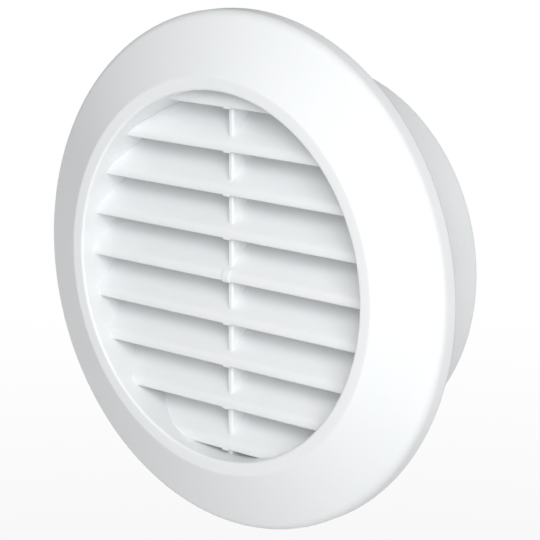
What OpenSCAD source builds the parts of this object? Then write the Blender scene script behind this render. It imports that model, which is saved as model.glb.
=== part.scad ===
// Round door vent grille, moulded in one piece: a raised conical flange, a collar that plugs
// into the hole in the door, fixed louvre slats across the bore and one upright rib behind their noses.
// The door's face is the plane y = 0, the room is on the -Y side and the collar runs along +Y.

/* [Flange] */
// Outer diameter of the flange
flange_d = 58; // [54:0.5:80]
// Height of the ring round the opening above the door
face_h = 5.4; // [4.4:0.1:8]
// Height at which the cone, drawn on, meets the flange's side
rim_h = 2.25; // [1.9:0.05:3.2]
// Rounding between the side and the cone
rim_r = 1.4; // [0.4:0.1:2]
// Width of the flat ring round the opening
ring_w = 1.5; // [1.2:0.1:3]
// Rounding where the cone meets that ring
ring_outer_r = 0.8; // [0.2:0.1:1.5]
// Rounding where that ring meets the bore
ring_inner_r = 0.3; // [0.1:0.05:0.5]
// Wall of the hollow flange
flange_t = 1.3; // [0.9:0.1:1.6]
// Rounding at the root of the flange, behind the cone
root_r = 0.5; // [0.2:0.1:0.8]

/* [Collar] */
// Outer diameter of the collar, for a hole of 45 mm
collar_d = 43.8; // [40:0.1:46]
// Length of the collar behind the door's face
collar_len = 13.3; // [8:0.1:30]
// Wall of the collar
collar_t = 1.35; // [1:0.05:1.8]
// Rounding of the collar's free end
collar_end_r = 0.35; // [0.1:0.05:0.45]

/* [Slats] */
// Distance from one slat to the next
slat_pitch = 4.81; // [4:0.01:6]
// Height of the middle slat's lower edge below the bore's axis
slat_drop = 0.7; // [0:0.05:1.5]
// How far the slats' noses lie behind the ring
slat_setback = 2; // [0.8:0.1:4]
// Rise of the slats towards the back, in degrees
slat_angle = 42; // [35:1:52]
// Wall of a slat
slat_t = 1; // [0.8:0.05:1.3]
// Height at which a slat's slope, drawn on, meets its upright nose
nose_h = 0.87; // [0.7:0.01:1.2]
// Rounding between the nose and the slope
nose_r = 1.2; // [0.3:0.1:1.4]
// Rounding of the slats' lower front edge
lip_r = 0.2; // [0.1:0.05:0.25]
// How far a slat's rear edge rises past the lower edge of the slat above it
slat_overlap = 0.2; // [0:0.05:0.5]
// Width of the flat along that rear edge
slat_end_w = 0.6; // [0.4:0.1:1]

/* [Rib] */
// Thickness of the upright rib
rib_t = 0.7; // [0.6:0.05:1.4]
// How far the rib's front edge lies behind the noses
rib_setback = 0.75; // [0.5:0.05:1.2]
// Rounding of the rib's two front edges
rib_r = 0.2; // [0.05:0.05:0.25]
// Width of the pad that joins the rib to each slat's lower edge
pad_w = 0.9; // [0.6:0.05:1.5]
// How far that pad hangs below the edge
pad_drop = 0.1; // [0.05:0.05:0.3]

/* [Gate mark] */
// Width of the mark that the mould's gate leaves on the middle slat
gate_w = 0.95; // [0.6:0.05:2]
// Height of the mark above the slat's lower edge
gate_h = 1.35; // [0.8:0.05:1.8]
// How far the mark stands proud
gate_relief = 0.12; // [0.05:0.01:0.3]

/* [Hidden] */
$fn = 180;
arc_step = 8;
plastic = [0.93, 0.94, 0.95];

flange_r = flange_d / 2;
collar_r = collar_d / 2;
bore_r = collar_r - collar_t;
ring_r = bore_r + ring_w;

cone_rise = (face_h - rim_h) / (flange_r - ring_r);
shell_drop = flange_t * norm([1, cone_rise]);
rim_inner_r = flange_r - flange_t;

slat_rise = tan(slat_angle);
slat_drop_t = slat_t / cos(slat_angle);
slat_h = slat_pitch + slat_overlap;
slat_top_y = (slat_h - nose_h) / slat_rise;
slat_depth = slat_top_y + slat_end_w;
slats_a_side = floor((bore_r - slat_drop) / slat_pitch);
nose_y = slat_setback - face_h;
seat_r = bore_r + collar_t / 2;

// Depth of the cone's inner face below the door's face, at radius r
function shell_y(r) = shell_drop - face_h + (r - ring_r) * cone_rise;

// Height of slat k's lower edge, counted from the middle slat
function slat_z(k) = k * slat_pitch - slat_drop;

// Height of a slat's underside and of its middle plane, at depth y behind its nose
function slat_under_z(y) = nose_h - slat_drop_t + y * slat_rise;
function slat_middle_z(y) = nose_h - slat_drop_t / 2 + y * slat_rise;

// Points that round the corner p = [x, y, radius] between its neighbours a and b
function unit(v) = v / norm(v);
function flat(p) = [p[0], p[1]];
function angle_of(v) = atan2(v[1], v[0]);
function short_turn(d) = d > 180 ? d - 360 : d < -180 ? d + 360 : d;
function corner(a, p, b) =
    p[2] == 0 ? [flat(p)] :
    let (
        to_a = unit(flat(a) - flat(p)),
        to_b = unit(flat(b) - flat(p)),
        half = acos(to_a * to_b) / 2,
        centre = flat(p) + unit(to_a + to_b) * p[2] / sin(half),
        reach = p[2] / tan(half),
        from = angle_of(flat(p) + to_a * reach - centre),
        sweep = short_turn(angle_of(flat(p) + to_b * reach - centre) - from),
        steps = ceil(abs(sweep) / arc_step)
    )
    [for (i = [0:steps]) let (t = from + sweep * i / steps) centre + p[2] * [cos(t), sin(t)]];

// Closed outline through corners that each carry their own rounding
function rounded(corners) =
    let (n = len(corners))
    [for (i = [0:n - 1]) each corner(corners[(i + n - 1) % n], corners[i], corners[(i + 1) % n])];

// Section of the flange, ring and collar as [radius, y, rounding]
function body_section() = rounded([
    [bore_r, -face_h, ring_inner_r],
    [ring_r, -face_h, ring_outer_r],
    [flange_r, -rim_h, rim_r],
    [flange_r, 0, 0],
    [rim_inner_r, 0, 0],
    [rim_inner_r, shell_y(rim_inner_r), 0],
    [collar_r, shell_y(collar_r), root_r],
    [collar_r, collar_len, collar_end_r],
    [bore_r, collar_len, collar_end_r]
]);

// Section of one slat as [depth behind the nose, height, rounding], swollen by grow in front
function slat_section(grow = 0) = rounded([
    [-grow, -grow, lip_r + grow],
    [-grow, nose_h + grow * (1 / cos(slat_angle) - slat_rise), nose_r + grow],
    [slat_top_y, slat_h + grow / cos(slat_angle), 0],
    [slat_depth, slat_h, 0],
    [slat_depth, slat_under_z(slat_depth), 0],
    [(slat_drop_t - nose_h) / slat_rise, -grow, 0]
]);

// Outline of the rib as [depth behind the noses, height]: it ends inside the top slat
function rib_outline() = [
    [rib_setback, -seat_r],
    [slat_depth, -seat_r],
    [slat_depth, slat_z(slats_a_side) + slat_middle_z(slat_depth)],
    [rib_setback, slat_z(slats_a_side) + slat_middle_z(rib_setback)]
];

// Plan of the rib as [width, depth behind the noses, rounding]
function rib_plan() = rounded([
    [-rib_t / 2, slat_depth, 0],
    [-rib_t / 2, rib_setback, rib_r],
    [rib_t / 2, rib_setback, rib_r],
    [rib_t / 2, slat_depth, 0]
]);

// Turns a drawing of [depth, height] into a plate of thickness w, centred on x = 0
module plate(w) {
    translate([-w / 2, nose_y, 0])
        rotate([90, 0, 90])
            linear_extrude(w)
                children();
}

// Keeps what lies inside the bore and half way into its wall
module inside_bore() {
    intersection() {
        children();
        translate([0, -face_h, 0])
            rotate([-90, 0, 0])
                cylinder(r = seat_r, h = face_h + collar_len);
    }
}

module flange_and_collar() {
    rotate([-90, 0, 0])
        rotate_extrude()
            polygon(body_section());
}

module slats() {
    inside_bore()
        for (k = [-slats_a_side:slats_a_side])
            translate([0, 0, slat_z(k)])
                plate(2 * seat_r)
                    polygon(slat_section());
}

module rib() {
    inside_bore()
        intersection() {
            translate([0, nose_y, -seat_r])
                linear_extrude(2 * seat_r)
                    polygon(rib_plan());
            plate(rib_t)
                polygon(rib_outline());
        }
}

module pads() {
    for (k = [-slats_a_side:slats_a_side])
        translate([0, 0, slat_z(k) - pad_drop])
            plate(pad_w)
                square([rib_setback + rib_r, pad_drop + slat_t / 2]);
}

module gate_mark() {
    translate([0, 0, slat_z(0)])
        plate(gate_w)
            intersection() {
                polygon(slat_section(gate_relief));
                translate([-gate_relief, -gate_relief])
                    square([slat_depth, gate_relief + gate_h]);
            }
}

module vent_grille() {
    color(plastic)
        union() {
            flange_and_collar();
            slats();
            rib();
            pads();
            gate_mark();
        }
}

vent_grille();
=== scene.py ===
"""A round door vent grille of satin white plastic, seen from the front right on a plain white stage."""

import math
import bpy
from mathutils import Matrix, Vector


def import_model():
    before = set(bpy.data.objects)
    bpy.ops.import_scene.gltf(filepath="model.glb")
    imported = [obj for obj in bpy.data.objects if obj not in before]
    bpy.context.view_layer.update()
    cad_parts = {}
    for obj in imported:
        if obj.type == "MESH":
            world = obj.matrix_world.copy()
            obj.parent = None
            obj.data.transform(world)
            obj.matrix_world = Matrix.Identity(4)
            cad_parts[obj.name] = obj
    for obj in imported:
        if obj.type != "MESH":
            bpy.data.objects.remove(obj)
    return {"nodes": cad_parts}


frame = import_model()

bpy.context.view_layer.update()

MM = 0.001
STAGE_DROP = 0.115

# ---------------------------------------------------------------- helpers


class Nodes:
    """A short way to build one material's node tree."""

    def __init__(self, name):
        self.material = bpy.data.materials.new(name)
        self.material.use_nodes = True
        self.tree = self.material.node_tree
        self.tree.nodes.clear()

    def add(self, kind, inputs=None, **settings):
        node = self.tree.nodes.new(kind)
        for key, value in settings.items():
            setattr(node, key, value)
        for key, value in (inputs or {}).items():
            if isinstance(value, bpy.types.NodeSocket):
                self.tree.links.new(value, node.inputs[key])
            else:
                node.inputs[key].default_value = value
        return node

    def maths(self, operation, a, b=0.0, clamp=False):
        node = self.add("ShaderNodeMath", {0: a, 1: b}, operation=operation, use_clamp=clamp)
        return node.outputs[0]

    def noise(self, coords, scale, detail=3.0, roughness=0.5):
        node = self.add(
            "ShaderNodeTexNoise",
            {"Vector": coords, "Scale": scale, "Detail": detail, "Roughness": roughness},
        )
        return node.outputs["Fac"]

    def spread(self, value, low, high):
        """Maps a noise's middle half, 0.25 to 0.75, to low and high."""
        node = self.add(
            "ShaderNodeMapRange",
            {"Value": value, "From Min": 0.25, "From Max": 0.75, "To Min": low, "To Max": high},
        )
        return node.outputs["Result"]


# ---------------------------------------------------------------- the plastic


def white_plastic():
    """Injection-moulded white plastic: satin, very slightly cool, with a fine tool texture."""
    n = Nodes("white_plastic")
    coords = n.add("ShaderNodeTexCoord").outputs["Object"]

    # Colour: a slow, faint mottle of the pigment
    mottle = n.noise(coords, 60.0, 2.0)
    colour = n.add(
        "ShaderNodeMix",
        {"Factor": n.spread(mottle, 0.0, 1.0), "A": (0.842, 0.862, 0.872, 1), "B": (0.862, 0.878, 0.886, 1)},
        data_type="RGBA",
    ).outputs["Result"]

    # Gloss: cloudy patches over a fine grain
    cloud = n.spread(n.noise(coords, 140.0, 3.0), 0.36, 0.44)
    grain = n.noise(coords, 5200.0, 2.0)
    roughness = n.maths("ADD", cloud, n.spread(grain, -0.02, 0.02))

    # Relief: the tool's fine texture over the slow waviness of a moulded wall
    edge = n.add("ShaderNodeBevel", {"Radius": 0.12 * MM}, samples=6).outputs["Normal"]
    wave = n.add(
        "ShaderNodeBump",
        {"Strength": 0.35, "Distance": 0.05 * MM, "Height": n.noise(coords, 170.0, 1.0), "Normal": edge},
    ).outputs["Normal"]
    skin = n.add(
        "ShaderNodeBump",
        {"Strength": 0.25, "Distance": 0.006 * MM, "Height": grain, "Normal": wave},
    ).outputs["Normal"]

    shader = n.add(
        "ShaderNodeBsdfPrincipled",
        {
            "Base Color": colour,
            "Roughness": roughness,
            "Normal": skin,
            "IOR": 1.49,
            "Subsurface Weight": 0.12,
            "Subsurface Radius": (1.2, 1.1, 1.0),
            "Subsurface Scale": 1.0 * MM,
        },
    )
    n.add("ShaderNodeOutputMaterial", {"Surface": shader.outputs[0]})
    return n.material


grille = frame["nodes"]["vent_grille"]
grille.data.materials.clear()
grille.data.materials.append(white_plastic())

# ---------------------------------------------------------------- stage


def stage_material():
    """White to the camera, with the object's soft shadow kept near it; a plain diffuse floor to its light."""
    n = Nodes("stage_white")
    path = n.add("ShaderNodeLightPath").outputs
    coords = n.add("ShaderNodeTexCoord").outputs["Object"]
    distance = n.add("ShaderNodeVectorMath", {0: coords}, operation="LENGTH").outputs["Value"]
    away = n.add(
        "ShaderNodeMapRange",
        {"Value": distance, "From Min": 0.12, "From Max": 0.5, "To Min": 0.86, "To Max": 1.0},
        interpolation_type="SMOOTHSTEP",
    ).outputs["Result"]
    grain = n.noise(coords, 900.0, 2.0)
    paper = n.add(
        "ShaderNodeMix",
        {"Factor": grain, "A": (0.78, 0.78, 0.78, 1), "B": (0.82, 0.82, 0.82, 1)},
        data_type="RGBA",
    ).outputs["Result"]
    lit = n.add("ShaderNodeBsdfDiffuse", {"Color": paper}).outputs[0]
    glow = n.add("ShaderNodeEmission", {"Color": (1, 1, 1, 1), "Strength": 1.0}).outputs[0]
    seen = n.maths("MAXIMUM", path["Is Camera Ray"], path["Is Glossy Ray"])
    share = n.maths("MULTIPLY", seen, away)
    mixed = n.add("ShaderNodeMixShader", {0: share, 1: lit, 2: glow}).outputs[0]
    n.add("ShaderNodeOutputMaterial", {"Surface": mixed})
    return n.material


def stage_disc(radius, z, rings=6, steps=96):
    """A round floor as a plain mesh of rings."""
    verts = [(0.0, 0.0, z)]
    faces = []
    for i in range(1, rings + 1):
        r = radius * i / rings
        for j in range(steps):
            a = 2 * math.pi * j / steps
            verts.append((r * math.cos(a), r * math.sin(a), z))
    for j in range(steps):
        faces.append((0, 1 + j, 1 + (j + 1) % steps))
    for i in range(1, rings):
        low = 1 + (i - 1) * steps
        high = low + steps
        for j in range(steps):
            k = (j + 1) % steps
            faces.append((low + j, high + j, high + k, low + k))
    mesh = bpy.data.meshes.new("stage_floor")
    mesh.from_pydata(verts, [], faces)
    floor = bpy.data.objects.new("stage_floor", mesh)
    bpy.context.scene.collection.objects.link(floor)
    floor.data.materials.append(stage_material())
    return floor


stage_disc(3.0, -STAGE_DROP)

# ---------------------------------------------------------------- light


def aim(obj, at):
    """Turns an object so that its -Z axis points at a place."""
    obj.rotation_mode = "QUATERNION"
    obj.rotation_quaternion = (Vector(at) - obj.location).to_track_quat("-Z", "Y")


def lamp(name, azimuth, elevation, distance, size, power):
    """A square soft box at an azimuth from the door's normal, towards +X, and an elevation."""
    light = bpy.data.lights.new(name, "AREA")
    light.shape = "SQUARE"
    light.size = size
    light.energy = power
    obj = bpy.data.objects.new(name, light)
    a, e = math.radians(azimuth), math.radians(elevation)
    obj.location = distance * Vector((math.sin(a) * math.cos(e), -math.cos(a) * math.cos(e), math.sin(e)))
    bpy.context.scene.collection.objects.link(obj)
    aim(obj, (0, 0, 0))
    return obj


lamp("key", 48, 22, 0.32, 0.22, 0.9)
lamp("fill", -30, 35, 0.5, 0.4, 0.25)


def world(strength):
    """A white world to the camera and to transmission rays, and an even soft light of its own strength to the
    rest.
    """
    w = bpy.data.worlds.new("studio")
    w.use_nodes = True
    tree = w.node_tree
    tree.nodes.clear()
    path = tree.nodes.new("ShaderNodeLightPath")
    seen = tree.nodes.new("ShaderNodeMath")
    seen.operation = "MAXIMUM"
    tree.links.new(path.outputs["Is Camera Ray"], seen.inputs[0])
    tree.links.new(path.outputs["Is Transmission Ray"], seen.inputs[1])
    level = tree.nodes.new("ShaderNodeMapRange")
    level.inputs["To Min"].default_value = strength
    level.inputs["To Max"].default_value = 1.0
    tree.links.new(seen.outputs[0], level.inputs["Value"])
    back = tree.nodes.new("ShaderNodeBackground")
    back.inputs["Color"].default_value = (1, 1, 1, 1)
    tree.links.new(level.outputs["Result"], back.inputs["Strength"])
    out = tree.nodes.new("ShaderNodeOutputWorld")
    tree.links.new(back.outputs[0], out.inputs["Surface"])
    bpy.context.scene.world = w


world(0.3)

# ---------------------------------------------------------------- camera


def camera():
    """The photograph's camera: place, aim, roll and lens, found from the flange's ellipses."""
    azimuth, elevation, roll = (math.radians(v) for v in (41.622, 12.828, 0.357))
    distance = 253.93 * MM
    target = Vector((3.474, 0.0, 0.587)) * MM
    back = Vector(
        (
            math.sin(azimuth) * math.cos(elevation),
            -math.cos(azimuth) * math.cos(elevation),
            math.sin(elevation),
        )
    )
    level = Vector((math.cos(azimuth), math.sin(azimuth), 0.0))
    upright = back.cross(level)
    right = math.cos(roll) * level + math.sin(roll) * upright
    up = math.cos(roll) * upright - math.sin(roll) * level
    data = bpy.data.cameras.new("photo_camera")
    data.lens = 154.316
    data.sensor_width = 36.0
    data.clip_start = 0.01
    data.clip_end = 20.0
    cam = bpy.data.objects.new("photo_camera", data)
    turn = Matrix((right, up, back)).transposed().to_4x4()
    cam.matrix_world = Matrix.Translation(target + back * distance) @ turn
    bpy.context.scene.collection.objects.link(cam)
    bpy.context.scene.camera = cam


camera()

bpy.context.scene.view_settings.view_transform = "Standard"

bpy.context.view_layer.update()
